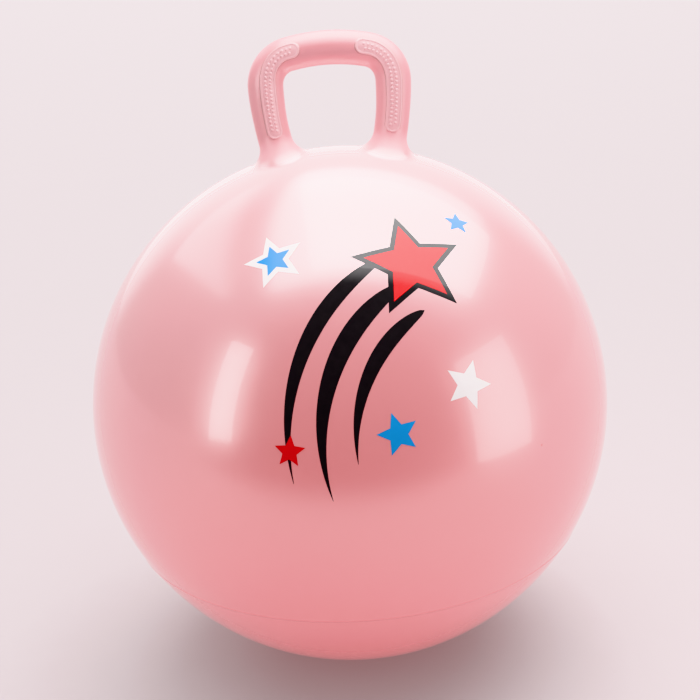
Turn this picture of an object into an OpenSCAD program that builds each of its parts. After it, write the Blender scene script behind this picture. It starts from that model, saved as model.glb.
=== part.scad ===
// Hopper ball: an inflated soft PVC ball with a closed loop handle to hold on to
// while bouncing, and a stopper valve at the back.
// Millimetres, +Z up. The origin is the middle of the flat patch the ball stands on,
// -Y is the front, and the handle's loop lies in the XZ plane.

/* [Ball] */
// Outside diameter of the inflated ball
ball_d = 450; // [350:1:650]
// Width of the patch that the ball's own weight presses flat
foot_d = 84; // [50:1:120]
// Thickness of the skin
skin_t = 1.2; // [0.8:0.1:2.5]
// How far the mould's parting line lies below the middle, as a share of the radius
parting_drop = 0.455; // [0.2:0.005:0.7]
// Radius of the fine bead that the parting line leaves
parting_bead_r = 0.4; // [0.2:0.1:0.6]

/* [Handle] */
// Overall width of the loop
handle_w = 131; // [115:1:160]
// Height of the loop's top above the crown of the ball
handle_rise = 94; // [84:1:125]
// Thickness of the round grip
grip_d = 27.5; // [22:0.5:32]
// Wall of the hollow grip
grip_wall = 3; // [2:0.5:5]
// Radius of the loop's two bends, at the middle of the grip
bend_r = 25; // [20:1:32]
// Radius of the slightly arched top bar, at the middle of the grip
arch_r = 150; // [120:5:400]
// Radius of the fillet where a leg runs out into the ball
root_fillet_r = 16; // [6:0.5:18]

/* [Grip panels] */
// Width of the raised panel on the front and back of each leg
panel_w = 12; // [8:0.5:15]
// Height of the panel's field above the grip
panel_rise = 0.5; // [0.2:0.1:1]
// Width of the rim round the panel
rim_w = 1.2; // [0.8:0.1:2]
// Height of the rim above the field
rim_rise = 0.5; // [0.2:0.1:1]
// Plain length of leg between the root fillet and the middle of the panel's round end
panel_drop = 9; // [7:0.5:16]
// Length of bar that the panel runs along past the bend, to the middle of its round end
panel_reach = 4.4; // [1:0.2:10]

/* [Valve] */
// Radius of the stopper's flat head
head_r = 7; // [6:0.5:10]
// Thickness of the stopper's flat head
head_t = 1.8; // [1.2:0.1:3]
// Radius of the stopper's shank
shank_r = 3.6; // [3:0.1:5]
// Length of the shank under the head
shank_l = 13; // [10:0.5:18]
// Number of sealing ribs round the shank
ribs = 3; // [2:1:4]
// How far a sealing rib stands out from the shank
rib_rise = 0.4; // [0.2:0.1:0.6]
// Width of the bush's collar beyond the stopper's head
collar_w = 4.5; // [3:0.5:7]
// Height of the collar's middle above the skin
collar_rise = 1; // [0.6:0.1:2]
// Radius of the collar's domed top
collar_dome_r = 100; // [80:5:200]
// Wall of the bush round the stopper's head
neck_wall = 1; // [0.6:0.1:2]
// Length of the bush inside the ball
bush_l = 9; // [6:0.5:9.5]
// Thickness of the flange behind the skin
flange_t = 2; // [1.2:0.1:3]
// Clearance all round the stopper in its bush
valve_fit = 0.1; // [0.05:0.05:0.2]
// Clearance between the skin and what is set against it
skin_fit = 0.1; // [0.05:0.05:0.3]

/* [Hidden] */
ball_r = ball_d / 2;
foot_r = foot_d / 2;
inner_r = ball_r - skin_t;
// The ball's middle lies this far above the flat patch
centre_z = sqrt(ball_r * ball_r - foot_r * foot_r);
parting_z = -parting_drop * ball_r;
parting_r = sqrt(ball_r * ball_r - parting_z * parting_z);

grip_r = grip_d / 2;
grip_bore_r = grip_r - grip_wall;
panel_r = grip_r + panel_rise;
rim_r = panel_r + rim_rise;
panel_sunk_r = grip_r - grip_wall / 2;
panel_half = panel_w / 2;
// Length of a cut that goes right through the grip and its panels
through = 4 * grip_d;

// The loop's middle line, from the ball's middle: a leg bows out from a line through the
// ball's middle until it is upright, a bend turns it inwards and the arch closes the loop.
loop_x = handle_w / 2 - grip_r;
loop_top_z = ball_r + handle_rise - grip_r;
arch_z = loop_top_z - arch_r;
arch_half = asin((loop_x - bend_r) / (arch_r - bend_r));
bend_z = arch_z + (arch_r - bend_r) * cos(arch_half);

// The fillet's middle: it touches the grip on one side and the ball on the other
fillet_x = grip_r + root_fillet_r;
root_l = sqrt(pow(ball_r + root_fillet_r, 2) - fillet_x * fillet_x);
touch_r = fillet_x * ball_r / (ball_r + root_fillet_r);
// The fillet stops where it is this thick, just before it runs out to nothing
fillet_edge = 0.2;
lip_r = touch_r - sqrt(2 * fillet_edge / (1 / root_fillet_r + 1 / ball_r));
// The flare's section starts this far from the ball's middle, below the skin
flare_low = ball_r - root_fillet_r;

// A leg is the arc that is upright at the bend and points at the ball's middle at its root
leg_r = (loop_x * loop_x + bend_z * bend_z - root_l * root_l) / (2 * loop_x);
root_tilt = atan2(leg_r, root_l) - atan2(leg_r - loop_x, bend_z);
panel_tilt = root_tilt - degrees(panel_drop / leg_r);
panel_turn = 90 - arch_half + degrees(panel_reach / arch_r);
// Neighbouring stretches of the loop run this far into each other
lap = 0.05;

rib_r = shank_r + rib_rise;
bush_bore_r = rib_r + valve_fit;
neck_r = head_r + valve_fit + neck_wall;
collar_r = head_r + collar_w;
flange_r = collar_r + neck_wall;
// The underside of the stopper's head, which is level with the collar's middle
head_low = collar_rise - head_t;
rib_pitch = (bush_l - head_t) / (ribs + 1);
// Width of the stopper's broken edges
plug_edge = 0.5;

skin_colour = [0.93, 0.68, 0.70];
handle_colour = [0.94, 0.72, 0.72];
bush_colour = [0.90, 0.60, 0.62];
plug_colour = [0.96, 0.94, 0.93];

// Facets of small rounds, of swept arcs and of the ball's outline
$fn = 72;
arc_fn = 144;
ball_fn = 360;

function degrees(radians) = radians * 180 / PI;

// Sweeps a section round an arc of the loop; angles go from +X towards +Z
module sweep(middle, r, from, to) {
    translate([middle[0], 0, middle[1]])
        rotate([90, 0, 0])
            rotate_extrude(angle = to - from, start = from, $fn = arc_fn)
                translate([r, 0])
                    children();
}

module ring_section(inner, outer) {
    difference() {
        circle(outer);
        circle(inner);
    }
}

// The hollow grip; a stretch that takes in its neighbour's end is grown all round
module tube_section(grow = 0) {
    ring_section(grip_bore_r - grow, grip_r + grow);
}

// The panels in front and behind, sunk into the grip's wall: a field between two rims
module panel_section(grow = 0) {
    difference() {
        intersection() {
            ring_section(panel_sunk_r - grow, rim_r + grow);
            square([panel_w + 2 * grow, through], center = true);
        }
        difference() {
            square([panel_w - 2 * (rim_w + grow), through], center = true);
            circle(panel_r + grow);
        }
    }
}

// A shell of the grip cut to a disc that is seen from the front
module shell_disc(middle, r, from, to, point, inner, outer, disc_r) {
    intersection() {
        sweep(middle, r, from, to)
            ring_section(inner, outer);
        translate(point)
            rotate([90, 0, 0])
                cylinder(h = through, r = disc_r, center = true);
    }
}

// A panel's round end, where the panel's middle line reaches an angle of an arc.
// Its sides run inside those of the panel, so its disc and steps are a lap smaller.
module panel_end(middle, r, end, way) {
    reach = degrees(panel_w / r);
    from = way > 0 ? end - degrees(lap / r) : end - reach;
    to = way > 0 ? end + reach : end + degrees(lap / r);
    point = [middle[0] + r * cos(end), 0, middle[1] + r * sin(end)];
    difference() {
        shell_disc(middle, r, from, to, point, panel_sunk_r, rim_r - lap, panel_half - lap);
        shell_disc(middle, r, from - reach, to + reach, point, panel_r - lap, through / 2,
            panel_half - rim_w + lap);
    }
}

// Puts children on the line from the ball's middle through a leg's root
module on_root() {
    rotate([0, root_tilt, 0])
        children();
}

module root_flare() {
    on_root()
        rotate_extrude($fn = arc_fn)
            difference() {
                translate([grip_bore_r - lap, flare_low])
                    square([lip_r - grip_bore_r + lap, root_l - flare_low]);
                translate([fillet_x + lap, root_l])
                    circle(root_fillet_r);
                circle(ball_r + skin_fit, $fn = ball_fn);
            }
}

module half_loop() {
    leg_middle = [loop_x - leg_r, bend_z];
    bend_middle = [loop_x - bend_r, bend_z];
    leg_lap = degrees(lap / leg_r);
    bend_lap = degrees(lap / bend_r);
    root_flare();
    sweep(leg_middle, leg_r, -root_tilt - leg_lap, 0)
        tube_section();
    panel_end(leg_middle, leg_r, -panel_tilt, -1);
    sweep(leg_middle, leg_r, -panel_tilt, 0)
        panel_section();
    sweep(bend_middle, bend_r, -bend_lap, 90 - arch_half + bend_lap) {
        tube_section(lap);
        panel_section(lap);
    }
    sweep([0, arch_z], arch_r, 90 - arch_half, panel_turn)
        panel_section();
    panel_end([0, arch_z], arch_r, panel_turn, 1);
}

// The slightly arched bar between the two bends
module top_bar() {
    sweep([0, arch_z], arch_r, 90 - arch_half, 90 + arch_half)
        tube_section();
}

// Hollow handle, open at both roots to the air inside the ball
module handle_loop() {
    color(handle_colour)
        translate([0, 0, centre_z]) {
            for (turn = [0, 180])
                rotate([0, 0, turn])
                    half_loop();
            top_bar();
        }
}

// Outline of the ball or of the air in it, pressed flat at the foot
module ball_outline(r, floor_z) {
    intersection() {
        circle(r, $fn = ball_fn);
        translate([0, floor_z])
            square(2 * r);
    }
}

module ball_skin() {
    color(skin_colour)
        translate([0, 0, centre_z])
            difference() {
                rotate_extrude($fn = arc_fn)
                    difference() {
                        union() {
                            ball_outline(ball_r, -centre_z);
                            translate([parting_r, parting_z])
                                circle(parting_bead_r);
                        }
                        ball_outline(inner_r, skin_t - centre_z);
                    }
                for (turn = [0, 180])
                    rotate([0, 0, turn])
                        on_root()
                            cylinder(h = root_l, r = grip_bore_r);
                rotate([-90, 0, 0])
                    cylinder(h = ball_d, r = neck_r + skin_fit);
            }
}

// Puts children on the valve's axis: z = 0 lies on the skin at the back, +Z points out
module on_valve() {
    translate([0, ball_r, centre_z])
        rotate([-90, 0, 0])
            children();
}

// The part of the skin that the bush is set round, with its clearance
module skin_band() {
    intersection() {
        translate([neck_r, -bush_l])
            square([flange_r, 2 * bush_l]);
        translate([0, -ball_r])
            difference() {
                circle(ball_r + skin_fit, $fn = ball_fn);
                circle(inner_r - skin_fit, $fn = ball_fn);
            }
    }
}

// The collar's half section: a disc under a shallow dome
module collar_section() {
    intersection() {
        translate([0, -skin_t])
            square([collar_r, skin_t + collar_rise]);
        translate([0, collar_rise - collar_dome_r])
            circle(collar_dome_r, $fn = ball_fn);
    }
}

module valve_bush() {
    color(bush_colour)
        on_valve()
            rotate_extrude()
                difference() {
                    union() {
                        translate([0, -bush_l])
                            square([neck_r, bush_l]);
                        translate([0, -skin_t - flange_t])
                            square([flange_r, flange_t]);
                        collar_section();
                    }
                    skin_band();
                    translate([0, -bush_l - lap])
                        square([bush_bore_r, bush_l + collar_rise + 2 * lap]);
                    translate([0, head_low - valve_fit])
                        square([head_r + valve_fit, 2 * head_t]);
                }
}

// One sealing rib of the stopper's outline: it slopes in and steps back out square
function rib_points(z) = [[shank_r, z - 2 * rib_rise], [rib_r, z], [shank_r, z]];

module valve_plug() {
    tip = head_low - shank_l;
    rib_outline = [for (i = [ribs:-1:1]) each rib_points(head_low - i * rib_pitch)];
    color(plug_colour)
        on_valve()
            rotate_extrude()
                polygon(concat(
                    [[0, tip], [shank_r - plug_edge, tip], [shank_r, tip + plug_edge]],
                    rib_outline,
                    [[shank_r, head_low], [head_r, head_low], [head_r, collar_rise - plug_edge]],
                    [[head_r - plug_edge, collar_rise], [0, collar_rise]]));
}

ball_skin();
handle_loop();
valve_bush();
valve_plug();
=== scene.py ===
"""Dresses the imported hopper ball: glossy inflated skin, satin loop handle, print and valve.

Metres, +Z up, the ball stands on z = 0 and its printed front faces -Y.
"""

import logging
from dataclasses import dataclass, field
from enum import Enum
from math import acos, asin, atan2, cos, hypot, pi, radians, sin, sqrt
from typing import Callable, ClassVar, Iterable, Sequence

import bmesh
import bpy
from mathutils import Matrix, Vector


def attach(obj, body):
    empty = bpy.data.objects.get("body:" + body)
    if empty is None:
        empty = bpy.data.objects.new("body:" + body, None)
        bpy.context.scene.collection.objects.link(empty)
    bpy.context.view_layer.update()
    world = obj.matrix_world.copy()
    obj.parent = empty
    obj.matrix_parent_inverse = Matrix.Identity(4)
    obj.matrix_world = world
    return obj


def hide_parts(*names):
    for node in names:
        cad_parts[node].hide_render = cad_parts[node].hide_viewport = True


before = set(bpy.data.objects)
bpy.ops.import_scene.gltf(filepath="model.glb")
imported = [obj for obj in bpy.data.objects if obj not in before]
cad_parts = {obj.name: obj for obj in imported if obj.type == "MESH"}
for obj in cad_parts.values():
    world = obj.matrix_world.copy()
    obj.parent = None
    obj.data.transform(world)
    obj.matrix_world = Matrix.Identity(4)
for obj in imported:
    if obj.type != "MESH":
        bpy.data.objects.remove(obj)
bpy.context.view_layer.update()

LOG = logging.getLogger("hopper_ball")
IMAGE_SIDE = 700
MM = 0.001
RIGHTWARD = Vector((1.0, 0.0, 0.0))
BACKWARD = Vector((0.0, 1.0, 0.0))

Colour = tuple[float, float, float]
Point2 = tuple[float, float]
Inputs = dict[str | int, object]
Material = bpy.types.Material
Thing = bpy.types.Object
Spot = Callable[[float, float, float], Vector]
Row = Sequence[bmesh.types.BMVert]


class Body(Enum):
    """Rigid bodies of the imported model."""

    BALL = "ball"
    STOPPER = "stopper"


class Slot(Enum):
    """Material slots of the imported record."""

    SKIN = "skin"
    HANDLE = "handle"
    BUSH = "bush"
    PLUG = "plug"


class Side(Enum):
    """The two legs of the loop, by the sign of X."""

    LEFT = -1
    RIGHT = 1


class Face(Enum):
    """Front and back of the handle, by the sign of Y."""

    FRONT = -1
    BACK = 1


def smooth(low: float, high: float, value: float) -> float:
    """Returns: The share from 0 to 1 that eases in between a low and a high value."""
    t = min(1.0, max(0.0, (value - low) / (high - low)))
    return t * t * (3.0 - 2.0 * t)


class Socket:
    """An output of a shader node that takes part in sums like a number."""

    def __init__(self, graph: "Graph", output: bpy.types.NodeSocket) -> None:
        """Wraps an output of a node in a graph."""
        self.graph = graph
        self.output = output

    def __add__(self, other: "Operand") -> "Socket":
        """Returns: The sum."""
        return self.graph.math("ADD", self, other)

    def __radd__(self, other: "Operand") -> "Socket":
        """Returns: The sum, from the right."""
        return self.graph.math("ADD", other, self)

    def __sub__(self, other: "Operand") -> "Socket":
        """Returns: The difference."""
        return self.graph.math("SUBTRACT", self, other)

    def __rsub__(self, other: "Operand") -> "Socket":
        """Returns: The difference, from the right."""
        return self.graph.math("SUBTRACT", other, self)

    def __mul__(self, other: "Operand") -> "Socket":
        """Returns: The product."""
        return self.graph.math("MULTIPLY", self, other)

    def __rmul__(self, other: "Operand") -> "Socket":
        """Returns: The product, from the right."""
        return self.graph.math("MULTIPLY", other, self)

    def __truediv__(self, other: "Operand") -> "Socket":
        """Returns: The quotient."""
        return self.graph.math("DIVIDE", self, other)

    def __rtruediv__(self, other: "Operand") -> "Socket":
        """Returns: The quotient, from the right."""
        return self.graph.math("DIVIDE", other, self)

    def eased(self, low: float, high: float) -> "Socket":
        """Eases the value from 0 at one level to 1 at another.

        Args:
            low: Value at which the result leaves 0.
            high: Value at which the result reaches 1.

        Returns:
            The eased share.
        """
        node = self.graph.add(
            "ShaderNodeMapRange",
            {"interpolation_type": "SMOOTHSTEP"},
            {"Value": self, "From Min": low, "From Max": high},
        )
        return Socket(self.graph, node.outputs["Result"])


Operand = Socket | float


class Graph:
    """The node tree of one material or of the world."""

    def __init__(self, owner: Material | bpy.types.World) -> None:
        """Args:
            owner: The new material or world, whose tree is emptied.
        """
        self.owner = owner
        self.owner.use_nodes = True
        self.tree = self.owner.node_tree
        self.tree.nodes.clear()

    @classmethod
    def of_material(cls, name: str) -> "Graph":
        """Returns: The empty tree of a new material."""
        return cls(bpy.data.materials.new(name))

    def add(self, kind: str, settings: dict[str, object], inputs: Inputs) -> bpy.types.Node:
        """Adds one node.

        Args:
            kind: Blender's name of the node's type.
            settings: Properties of the node, set first.
            inputs: Values or sockets for its inputs, by name or place.

        Returns:
            The new node.
        """
        node = self.tree.nodes.new(kind)
        for key, value in settings.items():
            setattr(node, key, value)
        for key, value in inputs.items():
            if isinstance(value, Socket):
                self.tree.links.new(value.output, node.inputs[key])
            else:
                node.inputs[key].default_value = value
        return node

    def math(self, operation: str, a: Operand, b: Operand) -> Socket:
        """Returns: The result of one operation, which goes by Blender's name."""
        return Socket(self, self.add("ShaderNodeMath", {"operation": operation}, {0: a, 1: b}).outputs[0])

    def mix(self, share: Operand, a: Socket | Colour, b: Socket | Colour) -> Socket:
        """Mixes two colours.

        Args:
            share: 0 for the first colour, 1 for the second.
            a: First colour.
            b: Second colour.

        Returns:
            The mixed colour.
        """
        full = [c if isinstance(c, Socket) else (*c, 1.0) for c in (a, b)]
        node = self.add("ShaderNodeMix", {"data_type": "RGBA"}, {0: share, 6: full[0], 7: full[1]})
        return Socket(self, node.outputs[2])

    def place(self) -> Socket:
        """Returns: The point on the object, in metres, in the part's own frame."""
        return Socket(self, self.add("ShaderNodeTexCoord", {}, {}).outputs["Object"])

    def along(self, axis: str) -> Socket:
        """Returns: The shaded point's place along X, Y or Z of the part's frame."""
        node = self.add("ShaderNodeSeparateXYZ", {}, {0: self.place()})
        return Socket(self, node.outputs[axis])

    def measure(self, operation: str, a: Socket, b: Vector) -> Socket:
        """Returns: A number from two vectors, by Blender's name of the operation."""
        node = self.add("ShaderNodeVectorMath", {"operation": operation}, {0: a, 1: tuple(b)})
        return Socket(self, node.outputs["Value"])

    def distance(self, point: Vector) -> Socket:
        """Returns: How far the shaded point lies from a place in the part's frame."""
        return self.measure("DISTANCE", self.place(), point)

    def noise(self, scale: float, detail: float = 2.0) -> Socket:
        """Returns: Soft noise between 0 and 1, by its cells per metre and its octaves."""
        inputs = {"Vector": self.place(), "Scale": scale, "Detail": detail}
        return Socket(self, self.add("ShaderNodeTexNoise", {}, inputs).outputs[0])

    def specks(self, scale: float, radius: float, core: float = 0.6) -> Socket:
        """Args:
            scale: Cells per metre.
            radius: Size of a speck as a share of its cell.
            core: Share of that size inside which a speck is whole.

        Returns:
            1 inside small scattered specks and 0 elsewhere.
        """
        inputs = {"Vector": self.place(), "Scale": scale, "Randomness": 1.0}
        cells = self.add("ShaderNodeTexVoronoi", {"feature": "F1"}, inputs)
        near = Socket(self, cells.outputs["Distance"])
        return 1.0 - near.eased(radius * core, radius)

    def look(self) -> Socket:
        """Returns: The world's shaded direction."""
        return Socket(self, self.add("ShaderNodeTexCoord", {}, {}).outputs["Generated"])

    def toward(self, axis: Vector) -> Socket:
        """Returns: How far the world's shaded direction points along an axis, from -1 to 1."""
        return self.measure("DOT_PRODUCT", self.look(), axis)

    def ceiling(self, least_climb: float = 0.02) -> tuple[Socket, Socket]:
        """Args:
            least_climb: The climb that flatter directions are taken to have.

        Returns:
            Where the world's shaded direction meets a ceiling one metre up: right and back.
        """
        node = self.add("ShaderNodeSeparateXYZ", {}, {0: self.look()})
        x, y, z = (Socket(self, output) for output in node.outputs)
        climb = self.math("MAXIMUM", z, least_climb)
        return x / climb, y / climb

    def bump(self, height: Socket, depth: float, strength: float) -> Socket:
        """Returns: The normal that a relief of 0 to 1 bends, by its depth in metres and its strength."""
        node = self.add("ShaderNodeBump", {}, {"Height": height, "Distance": depth, "Strength": strength})
        return Socket(self, node.outputs["Normal"])

    def finish(self, inputs: Inputs) -> Material:
        """Ends the tree in one principled surface.

        Args:
            inputs: Values or sockets of the surface.

        Returns:
            The finished material.
        """
        surface = self.add("ShaderNodeBsdfPrincipled", {}, inputs)
        self.add("ShaderNodeOutputMaterial", {}, {"Surface": Socket(self, surface.outputs["BSDF"])})
        return self.owner


@dataclass(frozen=True)
class Mottle:
    """Two close colours that run softly into each other."""

    colour: Colour
    shade: Colour
    scale: float
    octaves: float = 2.0

    def on(self, graph: Graph) -> Socket:
        """Returns: The colour, for a material's tree."""
        return graph.mix(graph.noise(self.scale, self.octaves), self.colour, self.shade)


@dataclass(frozen=True)
class Uneven:
    """A roughness that differs a little from place to place."""

    least: float
    spread: float
    scale: float

    def on(self, graph: Graph) -> Socket:
        """Returns: The roughness, for a material's tree."""
        return self.least + graph.noise(self.scale) * self.spread


@dataclass(frozen=True)
class Grain:
    """Fine relief in a surface."""

    scale: float
    depth: float
    strength: float

    def on(self, graph: Graph, where: Operand = 1.0) -> Socket:
        """Returns: The bent normal, where a place may have only a share of the relief."""
        return graph.bump(graph.noise(self.scale, 1.0) * where, self.depth, self.strength)


@dataclass(frozen=True)
class SoftVinyl:
    """What the ball, its handle and its print have in common: pearly soft PVC under a thin gloss."""

    ior: float = 2.6
    coat: float = 1.0
    coat_roughness: float = 0.045
    coat_ior: float = 1.5
    sheen: float = 0.06
    sheen_roughness: float = 0.4

    def inputs(self) -> Inputs:
        """Returns: The values that are the same all over the surface."""
        return {
            "IOR": self.ior,
            "Coat Roughness": self.coat_roughness,
            "Coat IOR": self.coat_ior,
            "Sheen Weight": self.sheen,
            "Sheen Roughness": self.sheen_roughness,
        }


@dataclass(frozen=True)
class PearlSkin:
    """Glossy skin of the ball with painted glow: warmer towards its foot and glowing from within, with a
    few specks in the vinyl.
    """

    vinyl: SoftVinyl = SoftVinyl()
    pink: Mottle = Mottle((0.470, 0.241, 0.258), (0.490, 0.266, 0.284), 9.0)
    # Painted glow: the base colour turns salmon towards the foot, standing in for light let through the
    # skin.
    low: Colour = (0.700, 0.120, 0.100)
    painted_glow_tint_height: float = 0.11
    painted_glow_tint_share: float = 0.7
    parting: Colour = (0.30, 0.11, 0.12)
    parting_height: float = 118.7 * MM
    parting_w: float = 0.7 * MM
    parting_edge: Point2 = (0.4, 4.0)
    parting_share: float = 0.5
    speck: Colour = (0.45, 0.12, 0.11)
    speck_scale: float = 26.0
    speck_r: float = 0.028
    speck_share: float = 0.7
    # Painted glow: emission colours that make the skin glow though it is no lamp, standing in for light let
    # through the skin.
    painted_inner_glow: Colour = (0.12, 0.012, 0.012)
    painted_front_glow: Colour = (0.24, 0.034, 0.022)
    front_reach: Point2 = (-0.225, -0.15)
    painted_foot_glow: Colour = (0.53, 0.076, 0.086)
    foot_height: float = 0.46
    gloss: Uneven = Uneven(0.23, 0.05, 60.0)
    peel: Grain = Grain(420.0, 0.4 * MM, 0.015)

    def tone(self, graph: Graph) -> Socket:
        """Args:
            graph: The material's tree.

        Returns:
            The vinyl's colour.
        """
        # Painted glow: tint the base colour salmon towards the foot.
        painted_glow_tint_mask = 1.0 - graph.along("Z").eased(0.0, self.painted_glow_tint_height)
        tone = graph.mix(painted_glow_tint_mask * self.painted_glow_tint_share, self.pink.on(graph), self.low)
        off = (graph.along("Z") - self.parting_height) / self.parting_w
        line = 1.0 - (off * off).eased(*self.parting_edge)
        tone = graph.mix(line * self.parting_share, tone, self.parting)
        return graph.mix(graph.specks(self.speck_scale, self.speck_r) * self.speck_share, tone, self.speck)

    def painted_glow(self, graph: Graph) -> Socket:
        """Args:
            graph: The material's tree.

        Returns:
            The painted glow that the skin emits in place of light let through the thin skin, most near the
            foot and in front.
        """
        ahead = 1.0 - graph.along("Y").eased(*self.front_reach)
        inner = graph.mix(ahead, self.painted_inner_glow, self.painted_front_glow)
        near = 1.0 - graph.along("Z").eased(0.0, self.foot_height)
        return graph.mix(near, inner, self.painted_foot_glow)

    def material(self, name: str) -> Material:
        """Args:
            name: Name of the material.

        Returns:
            The material.
        """
        graph = Graph.of_material(name)
        return graph.finish(
            self.vinyl.inputs()
            | {
                "Base Color": self.tone(graph),
                # Painted glow from the skin's emission.
                "Emission Color": self.painted_glow(graph),
                "Emission Strength": 1.0,
                "Roughness": self.gloss.on(graph),
                "Coat Weight": self.vinyl.coat,
                "Normal": self.peel.on(graph),
            }
        )


@dataclass(frozen=True)
class SatinGrip:
    """Satin handle with the skin's painted glow, paler in its root flares as painted light, which takes on
    the ball's gloss where it meets the ball.
    """

    skin: PearlSkin = PearlSkin()
    pink: Mottle = Mottle((0.600, 0.262, 0.292), (0.620, 0.297, 0.330), 35.0)
    # Painted light: a paler tone in the root flares that lightens their shaded run-out.
    flare: Colour = (0.80, 0.43, 0.47)
    satin: float = 0.38
    flare_satin: float = 0.55
    grain: Grain = Grain(1500.0, 0.3 * MM, 0.2)
    fade: float = 8 * MM
    coat_fade: float = 5 * MM
    flare_top: Point2 = (10 * MM, 22 * MM)

    def material(self, name: str, centre: Vector, ball_r: float) -> Material:
        """Args:
            name: Name of the material.
            centre: The ball's middle.
            ball_r: The ball's radius.

        Returns:
            The material.
        """
        graph = Graph.of_material(name)
        out = graph.distance(centre) - ball_r
        up = out.eased(0.0, self.fade)
        flared = up * (1.0 - out.eased(*self.flare_top))
        # Painted light: the paler tone in the flares.
        tone = graph.mix(flared, self.pink.on(graph), self.flare)
        satin = self.satin + flared * (self.flare_satin - self.satin)
        gloss = self.skin.gloss.on(graph)
        return graph.finish(
            self.skin.vinyl.inputs()
            | {
                "Base Color": graph.mix(up, self.skin.tone(graph), tone),
                # The handle shares the skin's painted glow.
                "Emission Color": self.skin.painted_glow(graph),
                "Emission Strength": 1.0,
                "Roughness": gloss + up * (satin - gloss),
                "Coat Weight": (1.0 - out.eased(0.0, self.coat_fade)) * self.skin.vinyl.coat,
                "Normal": self.grain.on(graph, up),
            }
        )


@dataclass(frozen=True)
class PrintInk:
    """Flat ink under the skin's gloss."""

    colour: Colour
    worn: Colour
    wear_scale: float = 180.0
    wear_octaves: float = 3.0
    rough: Uneven = Uneven(0.45, 0.05, 60.0)
    vinyl: SoftVinyl = SoftVinyl(ior=1.05, coat=0.65)

    def material(self, name: str) -> Material:
        """Args:
            name: Name of the material.

        Returns:
            The material.
        """
        graph = Graph.of_material(name)
        return graph.finish(
            self.vinyl.inputs()
            | {
                "Base Color": Mottle(self.colour, self.worn, self.wear_scale, self.wear_octaves).on(graph),
                "Roughness": self.rough.on(graph),
                "Coat Weight": self.vinyl.coat,
            }
        )


@dataclass(frozen=True)
class ValvePlastic:
    """Moulded plastic of the valve's two pieces, a little milky, with a faint grain."""

    plastic: Mottle
    rough: Uneven
    grain: Grain = Grain(2600.0, 0.2 * MM, 0.15)
    milk: float = 0.1
    milk_radius: Colour = (1.0, 0.6, 0.5)
    milk_depth: float = 3 * MM

    def material(self, name: str) -> Material:
        """Args:
            name: Name of the material.

        Returns:
            The material.
        """
        graph = Graph.of_material(name)
        return graph.finish(
            {
                "Base Color": self.plastic.on(graph),
                "Roughness": self.rough.on(graph),
                "Normal": self.grain.on(graph),
                "Subsurface Weight": self.milk,
                "Subsurface Radius": self.milk_radius,
                "Subsurface Scale": self.milk_depth,
            }
        )


@dataclass(frozen=True)
class StudioPaper:
    """Pale matt top of a light table, whose glow is dimmed under the ball as a painted shadow."""

    paper: Mottle = Mottle((0.185, 0.160, 0.165), (0.178, 0.153, 0.158), 3.0, 4.0)
    rough: Uneven = Uneven(0.8, 0.1, 40.0)
    glow: Colour = (0.98, 0.90, 0.915)
    # Painted shadow: the dimmer glow colour under the ball.
    painted_shadow_glow: Colour = (0.55, 0.44, 0.45)
    painted_shadow_reach: Point2 = (0.06, 0.24)
    glow_strength: float = 0.34

    def material(self, name: str) -> Material:
        """Args:
            name: Name of the material.

        Returns:
            The material.
        """
        graph = Graph.of_material(name)
        # Painted shadow: the floor's glow dims near the ball's foot.
        unshadowed = graph.distance(Vector()).eased(*self.painted_shadow_reach)
        return graph.finish(
            {
                "Base Color": self.paper.on(graph),
                "Roughness": self.rough.on(graph),
                "Emission Color": graph.mix(unshadowed, self.painted_shadow_glow, self.glow),
                "Emission Strength": self.glow_strength,
            }
        )


@dataclass(frozen=True)
class FadingCard:
    """Dark matt card that fades out towards its ends and its lower edge."""

    paper: Mottle = Mottle((0.05, 0.045, 0.046), (0.04, 0.036, 0.037), 3.0, 4.0)
    rough: Uneven = Uneven(0.8, 0.1, 40.0)
    whole: Point2 = (-0.22, 0.20)
    low_edge: Point2 = (-0.03, 0.15)

    def material(self, name: str, left: float, right: float) -> Material:
        """Args:
            name: Name of the material.
            left: Where the card's left end lies.
            right: Where its right end lies.

        Returns:
            The material.
        """
        graph = Graph.of_material(name)
        x = graph.along("X")
        ends = x.eased(left, self.whole[0]) * (1.0 - x.eased(self.whole[1], right))
        return graph.finish(
            {
                "Base Color": self.paper.on(graph),
                "Roughness": self.rough.on(graph),
                "Alpha": ends * graph.along("Z").eased(*self.low_edge),
            }
        )


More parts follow.
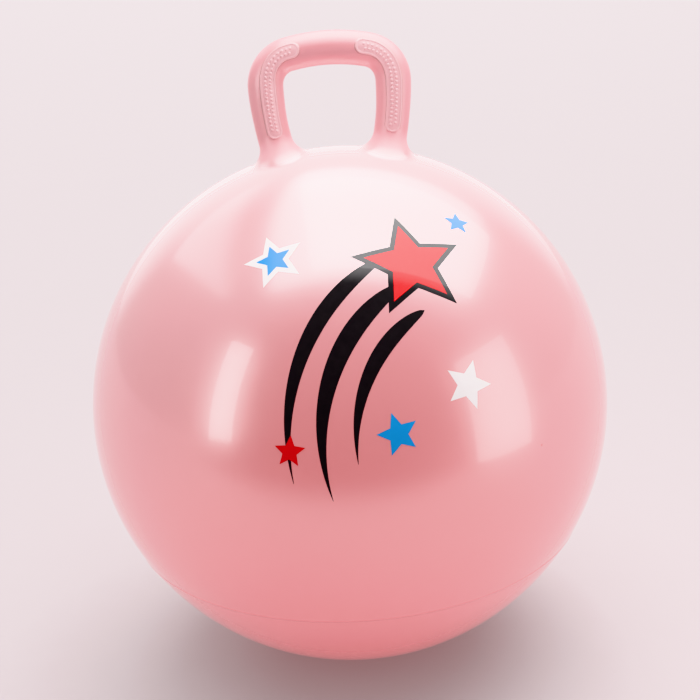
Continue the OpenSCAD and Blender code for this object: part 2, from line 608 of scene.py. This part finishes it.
class MeshPiece:
    """A mesh that is put together ring by ring."""

    def __init__(self) -> None:
        """Starts with no points."""
        self.mesh = bmesh.new()

    def ring(self, points: Iterable[Vector]) -> list[bmesh.types.BMVert]:
        """Returns: New points at places in the part's frame."""
        return [self.mesh.verts.new(p) for p in points]

    def band(self, a: Row, b: Row, closed: bool = True, finish: int = 0) -> None:
        """Joins two rows of points with faces, which face out where the rows run anticlockwise and climb.

        Args:
            a: First row.
            b: Second row, as long as the first.
            closed: Whether the rows run round in a circle.
            finish: Place of the faces' material among the piece's materials.
        """
        count = len(a) if closed else len(a) - 1
        for i in range(count):
            j = (i + 1) % len(a)
            corners = [a[i], a[j], b[j], b[i]]
            if len(set(corners)) == 4:
                self.mesh.faces.new(corners).material_index = finish

    def bands(self, rows: Sequence[Row], closed: bool = True) -> None:
        """Joins each row of points to the next one, which is as long."""
        for a, b in zip(rows, rows[1:]):
            self.band(a, b, closed)

    def cap(self, ring: Row, tip: Vector) -> None:
        """Closes a ring with a fan.

        Args:
            ring: The ring.
            tip: The fan's middle.
        """
        middle = self.mesh.verts.new(tip)
        for i, vertex in enumerate(ring):
            self.mesh.faces.new([vertex, ring[(i + 1) % len(ring)], middle])

    def build(self, name: str, body: Body, slot: Slot, *materials: Material) -> Thing:
        """Turns the points into a piece that rides on a body.

        Args:
            name: The piece's name.
            body: The body that carries it.
            slot: The record's slot; not used.
            materials: Its materials, the main one first.

        Returns:
            The new piece.
        """
        data = bpy.data.meshes.new(name)
        self.mesh.to_mesh(data)
        self.mesh.free()
        data.shade_smooth()
        piece = bpy.data.objects.new(name, data)
        bpy.context.scene.collection.objects.link(piece)
        for material in materials:
            piece.data.materials.append(material)
        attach(piece, body.value)
        return piece


@dataclass(frozen=True)
class Arc:
    """A stretch of the loop's middle line, from the ball's middle, angles from +X towards +Z."""

    x: float
    z: float
    radius: float
    start: float
    stop: float

    @property
    def length(self) -> float:
        """Returns: The arc's length."""
        return self.radius * (self.stop - self.start)

    def at(self, along: float) -> tuple[float, float, float]:
        """Returns: A point's x and z, and the angle that points away from the arc's middle."""
        angle = self.start + along / self.radius
        return self.x + self.radius * cos(angle), self.z + self.radius * sin(angle), angle


@dataclass(frozen=True)
class Fillet:
    """The rounded corner between a leg and the ball, as an outline round the leg's axis."""

    radius: float
    grip_r: float
    ball_r: float
    steps: int = 32
    hem_steps: int = 5
    hem: float = 1 * MM
    dip: float = 0.004 * MM

    @property
    def middle(self) -> float:
        """Returns: How far from the leg's axis the corner's middle lies."""
        return self.grip_r + self.radius

    @property
    def top(self) -> float:
        """Returns: How far from the ball's middle the corner ends on the leg."""
        return sqrt((self.ball_r + self.radius) ** 2 - self.middle**2)

    def swell(self, height: float) -> float:
        """Returns: How far the corner stands out from the leg, at a height over the ball's middle."""
        below = max(0.0, self.top - height)
        return self.radius - sqrt(self.radius**2 - below**2)

    def outline(self, height: float) -> list[Point2]:
        """Args:
            height: Where the outline ends on the leg, from the ball's middle.

        Returns:
            Pairs of distance from the axis and along it, from a hem that dips under the skin upwards.
        """
        line = []
        touch = atan2(self.middle, self.top)
        for i in range(self.hem_steps, 0, -1):
            turn = touch + i * self.hem / self.ball_r
            sunk = self.ball_r - self.dip * i * i
            line.append((sunk * sin(turn), sunk * cos(turn)))
        first = pi + asin((self.top - height) / self.radius)
        last = 1.5 * pi - touch
        for i in range(self.steps, 0, -1):
            angle = first + (last - first) * i / self.steps
            line.append((self.middle + self.radius * cos(angle), self.top + self.radius * sin(angle)))
        return line


@dataclass
class LoopPath:
    """The handle's middle line: legs that bow out of the ball, two bends and an arched bar."""

    ball_r: float
    handle_w: float = 131 * MM
    rise: float = 94 * MM
    grip_r: float = 13.75 * MM
    bend_r: float = 25 * MM
    arch_r: float = 150 * MM
    fillet_r: float = 16 * MM
    front_fillet_r: float = 26 * MM
    root: float = field(init=False)
    root_tilt: float = field(init=False)
    arcs: list[Arc] = field(init=False)

    def __post_init__(self) -> None:
        """Works out the arcs from the driving sizes."""
        x = self.handle_w / 2 - self.grip_r
        arch_z = self.ball_r + self.rise - self.grip_r - self.arch_r
        arch_half = asin((x - self.bend_r) / (self.arch_r - self.bend_r))
        bend_z = arch_z + (self.arch_r - self.bend_r) * cos(arch_half)
        self.root = self.fillet(0.0).top
        leg_r = (x * x + bend_z * bend_z - self.root**2) / (2 * x)
        self.root_tilt = atan2(leg_r, self.root) - atan2(leg_r - x, bend_z)
        turn = pi / 2 - arch_half
        self.arcs = [
            Arc(x - leg_r, bend_z, leg_r, -self.root_tilt, 0.0),
            Arc(x - self.bend_r, bend_z, self.bend_r, 0.0, turn),
            Arc(0.0, arch_z, self.arch_r, turn, pi / 2),
        ]

    def fillet(self, angle: float) -> Fillet:
        """Returns: The fillet at an angle round the leg, which runs out wider to the front and the back."""
        wider = (self.front_fillet_r - self.fillet_r) * sin(angle) ** 2
        return Fillet(self.fillet_r + wider, self.grip_r, self.ball_r)

    @property
    def length(self) -> float:
        """Returns: Length of half the loop, from a root to the middle of the bar."""
        return sum(arc.length for arc in self.arcs)

    def at(self, along: float, side: Side, centre: Vector) -> tuple[Vector, Vector]:
        """Args:
            along: How far up from the root.
            side: Which leg.
            centre: The ball's middle.

        Returns:
            The point and the direction that points out of the loop.
        """
        arcs = list(self.arcs)
        while len(arcs) > 1 and along > arcs[0].length:
            along -= arcs.pop(0).length
        x, z, angle = arcs[0].at(min(along, arcs[0].length))
        out = Vector((side.value * cos(angle), 0.0, sin(angle)))
        return centre + Vector((side.value * x, 0.0, z)), out


@dataclass
class BallSkin:
    """The inflated ball with its parting line."""

    radius: float = 225 * MM
    foot_r: float = 42 * MM
    foot_blend: float = 3 * MM
    settle: float = 80 * MM
    parting_drop: float = 0.455
    bead_r: float = 0.4 * MM
    bead_spread: float = 4.0
    bead_steps: int = 6
    bead_clear: float = 1.2
    rings: int = 180
    segments: int = 360
    finish: PearlSkin = PearlSkin()

    @property
    def centre(self) -> Vector:
        """Returns: The ball's middle."""
        return Vector((0.0, 0.0, sqrt(self.radius**2 - self.foot_r**2)))

    def level(self, z: float) -> float:
        """Args:
            z: Height of a point of the round ball above the floor.

        Returns:
            Its height once the floor has pressed the ball flat.
        """
        pressed = (z + hypot(z, self.foot_blend)) / 2
        lowest = self.centre.z - self.radius
        rest = (lowest + hypot(lowest, self.foot_blend)) / 2
        return pressed - rest * (1.0 - smooth(0.0, self.settle, pressed))

    def profile(self) -> list[Point2]:
        """Returns: Polar angles from the foot, with how far the skin stands proud there."""
        line = acos(self.parting_drop)
        reach = self.bead_spread * self.bead_r / self.radius
        plain = [pi * i / self.rings for i in range(1, self.rings)]
        turns = [(t, 0.0) for t in plain if abs(t - line) > self.bead_clear * reach]
        for i in range(-self.bead_steps, self.bead_steps + 1):
            t = i / self.bead_steps
            turns.append((line + t * reach, self.bead_r * cos(t * pi / 2) ** 2))
        return sorted(turns)

    def build(self) -> Thing:
        """Returns: The skin."""
        piece = MeshPiece()
        rows = []
        for turn, proud in self.profile():
            r = (self.radius + proud) * sin(turn)
            z = self.level(self.centre.z - (self.radius + proud) * cos(turn))
            rows.append(piece.ring(self.circle(r, z)))
        piece.cap(rows[0][::-1], Vector((0.0, 0.0, self.level(self.centre.z - self.radius))))
        piece.cap(rows[-1], Vector((0.0, 0.0, self.level(self.centre.z + self.radius))))
        piece.bands(rows)
        skin = piece.build("ball_skin_shell", Body.BALL, Slot.SKIN, self.finish.material("pearl_skin"))
        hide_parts("ball_skin")
        return skin

    def circle(self, r: float, z: float) -> list[Vector]:
        """Returns: A level ring of points, by its radius and height."""
        step = 2 * pi / self.segments
        return [Vector((r * cos(i * step), r * sin(i * step), z)) for i in range(self.segments)]


@dataclass(frozen=True)
class Track:
    """Where a panel lies on the grip.

    Spot gives the place of (along, across, height), turned says whether along and across run anticlockwise
    there, seen from outside, and start and stop bound the panel's straight part along the loop.
    """

    spot: Spot
    turned: bool
    start: float
    stop: float


@dataclass
class GripPanel:
    """A raised panel on the handle: a painted shade line round its foot, a rim and a field of small pips.
    """

    width: float = 12 * MM
    field_rise: float = 0.5 * MM
    rim_rise: float = 1.0 * MM
    rim_w: float = 1.2 * MM
    edge: float = 0.35 * MM
    drop: float = 9 * MM
    reach: float = 4.4 * MM
    lift: float = radians(13.0)
    foot_w: float = 0.9 * MM
    foot_rise: float = 0.03 * MM
    painted_shade_bands: int = 3
    pip_r: float = 1.15 * MM
    pip_rise: float = 0.42 * MM
    pip_step: float = 3.2 * MM
    pip_columns: int = 2
    pip_around: int = 12
    pip_dome: tuple[Point2, ...] = ((1.0, -0.1), (0.92, 0.45), (0.62, 0.85))
    side_steps: int = 72
    end_steps: int = 14

    def outline(self, track: Track, inset: float) -> list[Point2]:
        """Args:
            track: Where the panel lies.
            inset: How far the line lies inside the panel's edge.

        Returns:
            The closed line as (along, across) pairs, with equal counts for every inset.
        """
        start, stop = track.start, track.stop
        half = self.width / 2 - inset
        turns = [pi * i / self.end_steps for i in range(1, self.end_steps)]
        shares = [i / self.side_steps for i in range(self.side_steps + 1)]
        line = [(start + (stop - start) * share, half) for share in shares]
        line += [(stop + half * sin(a), half * cos(a)) for a in turns]
        line += [(stop + (start - stop) * share, -half) for share in shares]
        line += [(start - half * sin(a), -half * cos(a)) for a in turns]
        return line

    def levels(self) -> list[Point2]:
        """Returns: Insets from the panel's edge, with the height there, from outside to inside."""
        inner = self.rim_w
        return [
            # The bands between the first four levels are the painted shade line round the foot.
            (-self.foot_w - 0.5 * self.edge, -self.foot_rise),
            (-self.foot_w, self.foot_rise),
            (-0.1 * self.edge, self.foot_rise),
            (0.0, 0.6 * self.rim_rise),
            (0.4 * self.edge, 0.92 * self.rim_rise),
            (self.edge, self.rim_rise),
            (inner - self.edge, self.rim_rise),
            (inner, 0.85 * self.rim_rise),
            (inner + self.edge, self.field_rise),
            (inner + 2 * self.edge, self.field_rise),
            (0.45 * self.width, self.field_rise),
            (0.4999 * self.width, self.field_rise),
        ]

    def build(self, name: str, track: Track, *materials: Material) -> Thing:
        """Args:
            name: The piece's name.
            track: Where the panel lies.
            materials: The panel's material, a paler copy with painted light, and that of the painted shade
                line round its foot.

        Returns:
            The panel.
        """
        piece = MeshPiece()
        rows = []
        for inset, rise in self.levels():
            line = self.outline(track, inset)
            if track.turned:
                line.reverse()
            rows.append(piece.ring(track.spot(along, across, rise) for along, across in line))
        for number, (a, b) in enumerate(zip(rows, rows[1:])):
            # Bands of the foot line take the painted shade material.
            piece.band(a, b, finish=1 if number < self.painted_shade_bands else 0)
        for along, across in self.pips(track):
            self.pip(piece, track, along, across)
        return piece.build(name, Body.BALL, Slot.HANDLE, *materials)

    def pips(self, track: Track) -> Iterable[Point2]:
        """Args:
            track: Where the panel lies.

        Yields:
            The pips' places, in staggered columns.
        """
        count = int((track.stop - track.start) / self.pip_step)
        gap = (self.width - 2 * self.rim_w - 2 * self.pip_r) / self.pip_columns
        for column in range(self.pip_columns):
            across = (column - (self.pip_columns - 1) / 2) * gap
            shift = 0.5 if column % 2 else 0.0
            for i in range(count + 1):
                yield track.start + (i + shift) * self.pip_step, across

    def pip(self, piece: MeshPiece, track: Track, along: float, across: float) -> None:
        """Adds one domed pip.

        Args:
            piece: The mesh to add to.
            track: Where the panel lies.
            along: Place of the pip along the loop.
            across: Place of the pip across the panel.
        """
        way = 1 if track.turned else -1
        turns = [way * 2 * pi * k / self.pip_around for k in range(self.pip_around)]
        rows = []
        for share, rise in self.pip_dome:
            r = self.pip_r * share
            height = self.field_rise + rise * self.pip_rise
            places = [(along + r * cos(a), across + r * sin(a)) for a in turns]
            rows.append(piece.ring(track.spot(*place, height) for place in places))
        piece.bands(rows)
        piece.cap(rows[-1], track.spot(along, across, self.field_rise + self.pip_rise))


@dataclass
class HandleLoop:
    """The hollow loop handle with its four grip panels."""

    path: LoopPath
    centre: Vector
    panel: GripPanel = field(default_factory=GripPanel)
    finish: SatinGrip = SatinGrip()
    # Painted light: the panels' paler copy of the grip finish stands in for the light that their raised
    # faces catch.
    painted_light_panel_finish: SatinGrip = SatinGrip(pink=Mottle((0.67, 0.40, 0.43), (0.69, 0.45, 0.48), 35.0))
    # Painted shade: a darker copy of the grip finish for the line round each panel's foot.
    painted_shade_foot_finish: SatinGrip = SatinGrip(pink=Mottle((0.37, 0.15, 0.16), (0.40, 0.17, 0.18), 35.0))
    left_twist: float = radians(11.0)
    swell: float = 0.6 * MM
    swell_start: float = 0.3
    bar_loss: float = 2.0
    rings: int = 150
    around: int = 96

    def thickness(self, along: float) -> float:
        """Args:
            along: How far up from the root.

        Returns:
            The grip's radius there: a little fuller in the bends than in the bar.
        """
        bend_start = self.path.arcs[0].length
        full = smooth(self.swell_start * bend_start, bend_start, along)
        full -= self.bar_loss * self.turned_up(along)
        return self.path.grip_r + self.swell * full

    def turned_up(self, along: float) -> float:
        """Returns: How far round a bend a place along the loop lies: 0 on the leg, 1 on the bar."""
        bend_start = self.path.arcs[0].length
        return smooth(bend_start, bend_start + self.path.arcs[1].length, along)

    def spot(self, side: Side, face: Face) -> Spot:
        """Args:
            side: Which leg.
            face: Front or back.

        Returns:
            A function that gives the place of (along, across, height) on the grip.
        """
        twist = self.left_twist * face.value if side is Side.LEFT else 0.0

        def place(along: float, across: float, rise: float) -> Vector:
            """Args:
                along: How far up from the root.
                across: How far across the panel.
                rise: Height above the grip.

            Returns:
                The place.
            """
            point, out = self.path.at(along, side, self.centre)
            r = self.thickness(along) + rise
            up = self.turned_up(along)
            angle = across / self.path.grip_r + self.panel.lift * up + twist * (1.0 - up)
            return point + r * (sin(angle) * out + cos(angle) * Vector((0.0, face.value, 0.0)))

        return place

    def build(self) -> list[Thing]:
        """Returns: The loop and its panels."""
        piece = MeshPiece()
        rings = self.half(Side.RIGHT) + self.half(Side.LEFT)[-2::-1]
        rows = [piece.ring(ring) for ring in rings]
        piece.bands(rows)
        material = self.finish.material("satin_grip", self.centre, self.path.ball_r)
        loop = piece.build("handle_loop_tube", Body.BALL, Slot.HANDLE, material)
        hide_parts("handle_loop")
        pieces = [loop, *self.panels()]
        # The skin's pearl is too soft to mirror the handle as a sharp ring.
        for part in pieces:
            part.visible_glossy = False
        return pieces

    def half(self, side: Side) -> list[list[Vector]]:
        """Args:
            side: Which leg.

        Returns:
            The rings of half the loop, from the flare's hem on the ball to the middle of the bar.
        """
        _, out = self.path.at(0.0, side, self.centre)
        axis = Vector((side.value * sin(self.path.root_tilt), 0.0, cos(self.path.root_tilt)))
        turns = [2 * pi * k / self.around for k in range(self.around)]
        ways = [cos(a) * out + sin(a) * BACKWARD for a in turns]
        fillets = [self.path.fillet(a) for a in turns]
        outlines = [fillet.outline(self.path.root) for fillet in fillets]
        rings = []
        for row in zip(*outlines):
            rings.append([self.centre + axis * h + way * r for (r, h), way in zip(row, ways)])
        for i in range(self.rings + 1):
            along = self.path.length * i / self.rings
            point, out = self.path.at(along, side, self.centre)
            grip = self.thickness(along)
            radii = [grip + fillet.swell(self.path.root + along) for fillet in fillets]
            ways = [cos(a) * out + sin(a) * BACKWARD for a in turns]
            rings.append([point + r * way for r, way in zip(radii, ways)])
        return rings

    def panels(self) -> list[Thing]:
        """Returns: The four panels."""
        # Painted light: the panels' finish is a paler copy of the grip's.
        finishes = (("satin_panel_painted_light", self.painted_light_panel_finish), ("panel_foot_painted_shade", self.painted_shade_foot_finish))
        # Painted shade: the foot lines take a darker copy of the grip's finish.
        materials = [finish.material(name, self.centre, self.path.ball_r) for name, finish in finishes]
        start = self.panel.drop
        stop = self.path.arcs[0].length + self.path.arcs[1].length + self.panel.reach
        built = []
        for side in Side:
            for face in Face:
                name = f"grip_panel_{face.name.lower()}_{side.name.lower()}"
                track = Track(self.spot(side, face), side.value * face.value > 0, start, stop)
                built.append(self.panel.build(name, track, *materials))
        return built


def between(a: Point2, b: Point2, share: float) -> Point2:
    """Returns: The point that lies a share of the way from one point to another."""
    return a[0] + (b[0] - a[0]) * share, a[1] + (b[1] - a[1]) * share


@dataclass(frozen=True)
class Star:
    """A star of the print, in metres from the print's middle."""

    at: Point2
    radius: float
    lean: float = 0.0
    waist: float = 0.46
    points: int = 5
    edge_steps: int = 8
    rows: int = 9
    closed: ClassVar[bool] = True

    def outline(self) -> list[Point2]:
        """Returns: The star's outline."""
        tips = []
        for i in range(2 * self.points):
            r = self.radius * (1.0 if i % 2 == 0 else self.waist)
            a = pi / 2 + self.lean + i * pi / self.points
            tips.append((self.at[0] + r * cos(a), self.at[1] + r * sin(a)))
        line = []
        for tip, after in zip(tips, tips[1:] + tips[:1]):
            line += [between(tip, after, k / self.edge_steps) for k in range(self.edge_steps)]
        return line

    def lines(self) -> list[list[Point2]]:
        """Returns: Rings that fill the star, from its outline inwards."""
        outline = self.outline()
        shares = [k / self.rows for k in range(self.rows, 0, -1)]
        return [[between(self.at, p, share) for p in outline] for share in shares]


@dataclass(frozen=True)
class Trail:
    """A tapering curved stroke of the print, on a circle round a point."""

    middle: Point2
    radius: float
    start: float
    stop: float
    width: float
    swing: float = 0.92
    tip: float = 0.02
    taper: float = 0.6
    steps: int = 48
    rows: int = 3
    closed: ClassVar[bool] = False

    def edge(self, way: float) -> list[Point2]:
        """Args:
            way: 1 for the outer edge, -1 for the inner edge.

        Returns:
            One long edge of the stroke.
        """
        line = []
        for i in range(self.steps + 1):
            share = i / self.steps
            a = self.start + (self.stop - self.start) * share
            fullness = sin(pi * share**self.taper) * self.swing + self.tip
            r = self.radius + way * 0.5 * self.width * fullness
            line.append((self.middle[0] + r * cos(a), self.middle[1] + r * sin(a)))
        return line

    def lines(self) -> list[list[Point2]]:
        """Returns: Lines that fill the stroke, from its outer to its inner edge."""
        edges = list(zip(self.edge(1.0), self.edge(-1.0)))
        shares = [k / self.rows for k in range(self.rows + 1)]
        return [[between(a, b, share) for a, b in edges] for share in shares]


@dataclass
class FrontPrint:
    """The printed front of the ball: stars and curved strokes in flat inks."""

    ball: BallSkin
    azimuth: float = radians(5.0)
    elevation: float = radians(36.0)
    proud: float = 0.12 * MM

    def spot(self, at: Point2, lift: float = 0.0) -> Vector:
        """Args:
            at: Distances right and up from the print's middle, along the skin.
            lift: Extra height above the skin.

        Returns:
            The place on the ball.
        """
        reach = hypot(*at)
        turn = reach / self.ball.radius
        ce, se = cos(self.elevation), sin(self.elevation)
        ca, sa = cos(self.azimuth), sin(self.azimuth)
        middle = Vector((sa * ce, -ca * ce, se))
        right = Vector((ca, sa, 0.0))
        up = Vector((-sa * se, ca * se, ce))
        way = (right * at[0] + up * at[1]) / reach if reach > 0.0 else right
        direction = middle * cos(turn) + way * sin(turn)
        return self.ball.centre + direction * (self.ball.radius + self.proud + lift)

    def fill(self, piece: MeshPiece, shape: Star | Trail, lift: float) -> None:
        """Args:
            piece: The mesh to add to.
            shape: What is printed.
            lift: Extra height above the skin.
        """
        rows = [piece.ring(self.spot(p, lift) for p in line) for line in shape.lines()]
        piece.bands(rows, shape.closed)
        if shape.closed:
            piece.cap(rows[-1], self.spot(shape.at, lift))

    def motifs(self) -> dict[str, tuple[PrintInk, list[Star | Trail], float]]:
        """Returns: The inks by name, with what each prints and how far above the skin it lies."""
        black = PrintInk((0.012, 0.011, 0.012), (0.022, 0.020, 0.021))
        red = PrintInk((0.60, 0.008, 0.010), (0.66, 0.014, 0.016))
        blue = PrintInk((0.018, 0.25, 0.60), (0.026, 0.29, 0.66))
        pale = PrintInk((0.74, 0.70, 0.70), (0.80, 0.77, 0.77))
        big = (38 * MM, 42 * MM)
        upper_left = (-62 * MM, 58 * MM)
        hub = (95 * MM, -95 * MM)
        strokes = [
            Trail(hub, r * MM, radians(118), radians(stop), w * MM)
            for r, stop, w in ((162, 186, 13), (137, 194, 15), (112, 184, 12))
        ]
        return {
            "print_pale": (
                pale,
                [Star(upper_left, 24 * MM, 0.2), Star((70 * MM, -52 * MM), 19 * MM, -0.3)],
                0.0,
            ),
            "print_black": (
                black,
                [Star(big, 45 * MM, 0.12), *strokes],
                0.02 * MM,
            ),
            "print_red": (
                red,
                [Star(big, 35 * MM, 0.12), Star((-66 * MM, -88 * MM), 12 * MM, -0.2)],
                0.06 * MM,
            ),
            "print_blue": (
                blue,
                [
                    Star(upper_left, 14 * MM, 0.2),
                    Star((14 * MM, -84 * MM), 16 * MM, 0.25),
                    Star((84 * MM, 84 * MM), 11 * MM, -0.1),
                ],
                0.06 * MM,
            ),
        }

    def build(self) -> list[Thing]:
        """Returns: One piece for each ink."""
        built = []
        for name, (ink, shapes, lift) in self.motifs().items():
            piece = MeshPiece()
            for shape in shapes:
                self.fill(piece, shape, lift)
            built.append(piece.build(name, Body.BALL, Slot.SKIN, ink.material(f"ink_{name}")))
        return built


@dataclass
class Valve:
    """The bush and its stopper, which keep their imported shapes."""

    bush: ValvePlastic = ValvePlastic(
        Mottle((0.78, 0.27, 0.26), (0.74, 0.24, 0.24), 240.0, 3.0), Uneven(0.38, 0.1, 300.0)
    )
    plug: ValvePlastic = ValvePlastic(
        Mottle((0.86, 0.82, 0.80), (0.82, 0.77, 0.75), 240.0, 3.0), Uneven(0.32, 0.1, 300.0)
    )

    def dress(self) -> list[Thing]:
        """Returns: The two pieces, with their materials."""
        dressed = []
        for node, finish in (("valve_bush", self.bush), ("valve_plug", self.plug)):
            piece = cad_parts[node]
            material = finish.material(node)
            for slot in piece.material_slots:
                slot.material = material
            dressed.append(piece)
        return dressed


def aim(azimuth: float, elevation: float) -> Vector:
    """Returns: The direction by its degrees to the right of the front and above level."""
    a, e = radians(azimuth), radians(elevation)
    return Vector((sin(a) * cos(e), -cos(a) * cos(e), sin(e)))


@dataclass(frozen=True)
class Softbox:
    """A soft light panel that faces the ball."""

    name: str
    azimuth: float
    elevation: float
    distance: float
    size: Point2
    radiance: float
    aside: Point2 = (0.0, 0.0)
    colour: Colour = (1.0, 0.98, 0.98)

    def build(self, target: Vector) -> None:
        """Adds the light.

        Args:
            target: What the panel faces.
        """
        data = bpy.data.lights.new(self.name, "AREA")
        data.shape = "RECTANGLE"
        data.size, data.size_y = self.size
        data.energy = pi * self.radiance * self.size[0] * self.size[1]
        data.color = self.colour
        light = bpy.data.objects.new(self.name, data)
        way = aim(self.azimuth, self.elevation)
        turn = (-way).to_track_quat("-Z", "Y").to_matrix().to_4x4()
        place = Matrix.Translation(target + way * self.distance + Vector((*self.aside, 0.0)))
        light.matrix_world = place @ turn
        light.visible_camera = False
        bpy.context.scene.collection.objects.link(light)


@dataclass(frozen=True)
class SkyPanel:
    """A bright panel in the ceiling, in shares of the ceiling's height.

    Its sides may spread towards the back, and its light changes evenly towards the back and the right.
    """

    left: float
    right: float
    front: float
    back: float
    radiance: float
    far_share: float
    right_share: float = 1.0
    spread: Point2 = (0.0, 0.0)
    soft: float = 0.08
    front_soft: float = 0.08
    fade_start: float = 0.1

    def glow(self, graph: Graph) -> Socket:
        """Args:
            graph: The world's tree.

        Returns:
            The panel's light.
        """
        x, y = graph.ceiling()
        from_left = x + y * self.spread[0]
        from_right = x - y * self.spread[1]
        across = from_left.eased(self.left - self.soft, self.left + self.soft) * (
            1.0 - from_right.eased(self.right - 2 * self.soft, self.right + 2 * self.soft)
        )
        along = y.eased(self.front - self.front_soft, self.front + self.front_soft) * (
            1.0 - y.eased(self.back - 2 * self.soft, self.back + 2 * self.soft)
        )
        fade = 1.0 - y.eased(self.fade_start, self.back) * (1.0 - self.far_share)
        fade = fade * (1.0 - x.eased(0.0, self.right) * (1.0 - self.right_share))
        return across * along * fade * self.radiance


@dataclass(frozen=True)
class StudioSky:
    """Even light from all round: bright panels in the ceiling and a dim room in front."""

    tint: Colour = (1.0, 0.975, 0.985)
    left: float = 0.60
    right: float = 0.66
    back: float = 2.2
    back_axis: Vector = aim(180.0, 12.0)
    back_edge: Point2 = (0.66, 0.98)
    side_edge: Point2 = (-0.7, 0.7)
    front: float = 0.12
    backdrop: float = 0.9
    front_axis: Vector = aim(2.0, 22.0)
    front_edge: Point2 = (66.0, 34.0)
    panels: tuple[SkyPanel, ...] = (
        SkyPanel(-0.46, 1.06, -0.27, 1.25, 6.2, 1.3, right_share=0.6, spread=(-0.22, 0.0)),
        SkyPanel(-1.00, -0.86, -0.10, 1.45, 1.9, 1.2, spread=(0.39, 0.28), front_soft=0.12),
    )

    def build(self) -> None:
        """Sets the world."""
        graph = Graph(bpy.data.worlds.new("studio_sky"))
        low, high = (cos(radians(a)) for a in self.front_edge)
        dim = graph.toward(self.front_axis).eased(low, high)
        sides = self.left + graph.toward(RIGHTWARD).eased(*self.side_edge) * (self.right - self.left)
        sides = sides + graph.toward(self.back_axis).eased(*self.back_edge) * self.back
        strength = sides - dim * (sides - self.front)
        for panel in self.panels:
            strength = strength + panel.glow(graph)
        seen = Socket(graph, graph.add("ShaderNodeLightPath", {}, {}).outputs["Is Camera Ray"])
        strength = strength + seen * (self.backdrop - strength)
        glow = graph.add("ShaderNodeBackground", {}, {"Color": (*self.tint, 1.0), "Strength": strength})
        graph.add("ShaderNodeOutputWorld", {}, {"Surface": Socket(graph, glow.outputs["Background"])})
        bpy.context.scene.world = graph.owner


@dataclass
class Studio:
    """Pale floor, soft light and the camera of the photograph."""

    ball: BallSkin
    floor_side: float = 240.0
    distance: float = 4.58
    elevation: float = radians(21.03)
    roll: float = radians(3.7)
    ball_px: float = 257.3
    drop_px: float = 52.5
    sensor_mm: float = 36.0
    near_clip: float = 0.01
    sheet_cells: int = 8
    card_gap: float = 0.78
    card_left: float = -1.9
    card_right: float = 1.5
    card_height: float = 0.30
    floor_finish: StudioPaper = StudioPaper()
    card_finish: FadingCard = FadingCard()
    sky: StudioSky = StudioSky()

    def build(self) -> None:
        """Adds the floor, the lights and the camera."""
        self.floor()
        self.card()
        self.sky.build()
        for panel in self.panels():
            panel.build(self.ball.centre)
        self.camera()

    def sheet(self, name: str, shape: Matrix, material: Material) -> Thing:
        """Adds a flat sheet that belongs to the studio.

        Args:
            name: The sheet's name.
            shape: Stretches and places a level square of one metre.
            material: Its material.

        Returns:
            The sheet.
        """
        mesh = bmesh.new()
        bmesh.ops.create_grid(mesh, x_segments=self.sheet_cells, y_segments=self.sheet_cells, size=0.5)
        bmesh.ops.transform(mesh, matrix=shape, verts=mesh.verts)
        data = bpy.data.meshes.new(name)
        mesh.to_mesh(data)
        mesh.free()
        sheet = bpy.data.objects.new(name, data)
        sheet.data.materials.append(material)
        bpy.context.scene.collection.objects.link(sheet)
        return sheet

    def floor(self) -> None:
        """Adds the floor."""
        shape = Matrix.Diagonal((self.floor_side, self.floor_side, 1.0, 1.0))
        self.sheet("studio_floor", shape, self.floor_finish.material("studio_paper"))

    def card(self) -> None:
        """Adds a low dark card in front, which keeps the far floor out of the ball's gloss."""
        left, right, height = self.card_left, self.card_right, self.card_height
        shape = Matrix.Diagonal((right - left, height, 1.0, 1.0))
        stand = Matrix.Rotation(pi / 2, 4, "X")
        place = Matrix.Translation(((left + right) / 2, -self.card_gap, height / 2))
        material = self.card_finish.material("dark_paper", left, right)
        card = self.sheet("dark_card", place @ stand @ shape, material)
        card.visible_camera = False
        card.visible_diffuse = False
        card.visible_shadow = False

    def panels(self) -> list[Softbox]:
        """Returns: The soft light panels."""
        return [
            Softbox("strip_left", -52.0, 19.8, 1.5, (0.27, 0.96), 5.0),
            Softbox("strip_right", 58.5, 9.0, 1.0, (0.46, 0.66), 2.4),
            Softbox("overhead", 0.0, 90.0, 0.53, (0.64, 0.46), 3.7, aside=(0.23, 0.0)),
        ]

    def camera(self) -> None:
        """Adds the camera: it looks at the ball's middle, rolled and framed as the photograph is."""
        data = bpy.data.cameras.new("photo_camera")
        data.sensor_width = self.sensor_mm
        focal_px = self.ball_px * sqrt(self.distance**2 - 1.0)
        data.lens = data.sensor_width * focal_px / IMAGE_SIDE
        data.shift_y = self.drop_px / IMAGE_SIDE
        data.clip_start = self.near_clip
        data.clip_end = 2 * self.floor_side
        camera = bpy.data.objects.new("photo_camera", data)
        back = Vector((0.0, -cos(self.elevation), sin(self.elevation)))
        up = Vector((0.0, sin(self.elevation), cos(self.elevation)))
        basis = Matrix((RIGHTWARD, up, back)).transposed().to_4x4()
        place = Matrix.Translation(self.ball.centre + back * self.distance * self.ball.radius)
        camera.matrix_world = place @ basis @ Matrix.Rotation(-self.roll, 4, "Z")
        bpy.context.scene.collection.objects.link(camera)
        bpy.context.scene.camera = camera


def main() -> None:
    """Builds the pieces in order, logs each one, and builds the studio."""
    logging.basicConfig(level=logging.INFO, format="%(name)s: %(message)s")
    bpy.context.scene.view_settings.view_transform = "Khronos PBR Neutral"
    ball = BallSkin()
    pieces = [ball.build()]
    pieces += HandleLoop(LoopPath(ball.radius), ball.centre).build()
    pieces += FrontPrint(ball).build()
    pieces += Valve().dress()
    for piece in pieces:
        LOG.info("%s built", piece.name)
    Studio(ball).build()
    LOG.info("boxes written")


if __name__ == "__main__":
    main()
